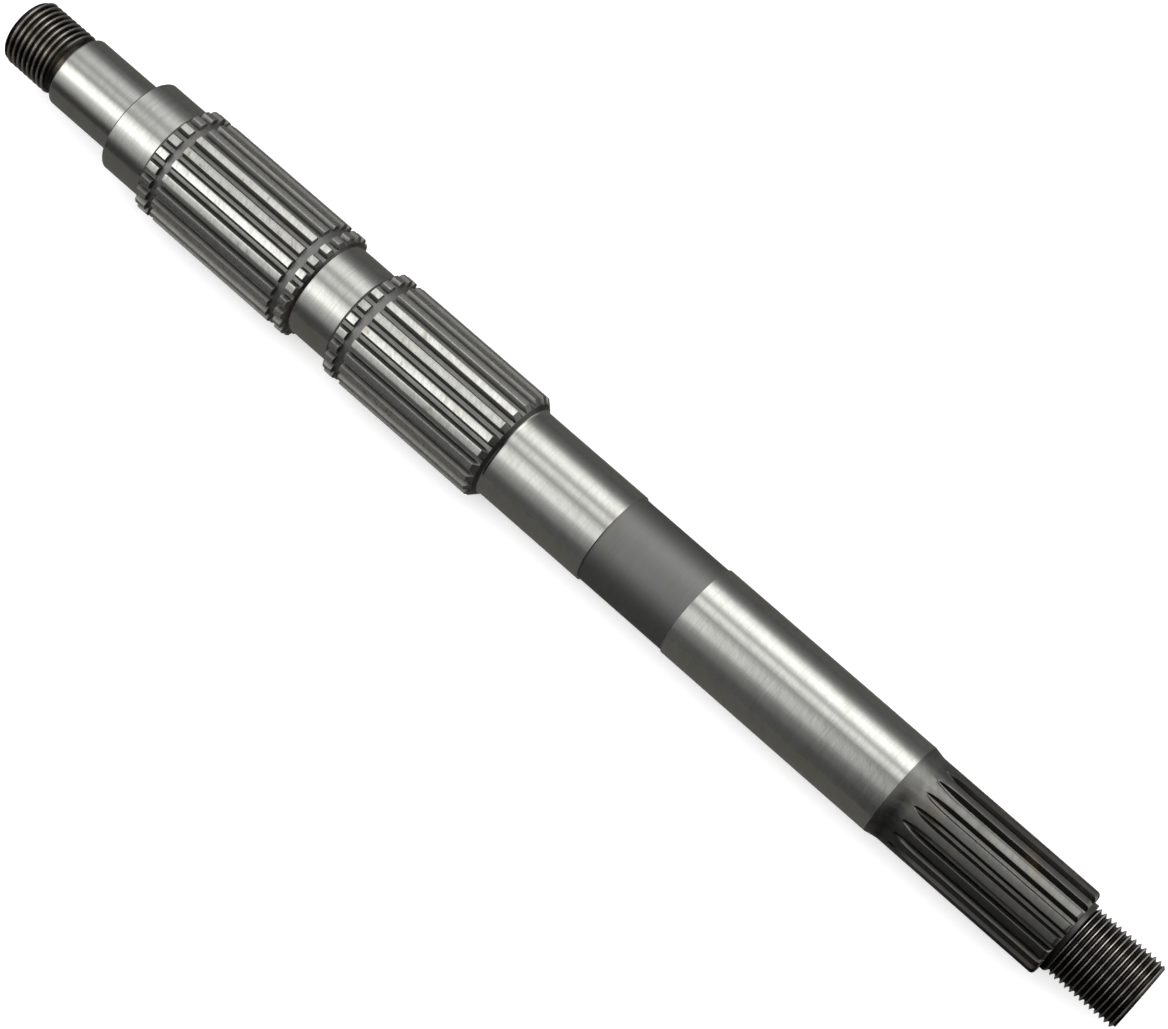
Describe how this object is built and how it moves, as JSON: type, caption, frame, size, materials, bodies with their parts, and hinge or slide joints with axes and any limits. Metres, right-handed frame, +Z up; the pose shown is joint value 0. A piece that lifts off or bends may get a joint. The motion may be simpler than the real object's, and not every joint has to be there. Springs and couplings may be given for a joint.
{
  "type": "transmission main shaft",
  "caption": "One-piece steel transmission main shaft with gear splines, snap ring grooves, ground journals, a clutch hub spline and a nut thread at each end.",
  "frame": {"origin": "on the shaft's axis, in the plane of the shoulder that the end bearing seats against", "axes": "+X along the shaft's axis towards the clutch hub's thread, +Z up as the shaft lies on a bench"},
  "size_m": [0.3591, 0.0306, 0.0306],
  "materials": {
    "shaft_steel": "ground bright on the journals and tooth tips, dull grey in the tooth spaces, dark phosphate on the hub spline and threads"
  },
  "bodies": {
    "root": {"main_shaft": "shaft_steel"}
  },
  "joints": []
}
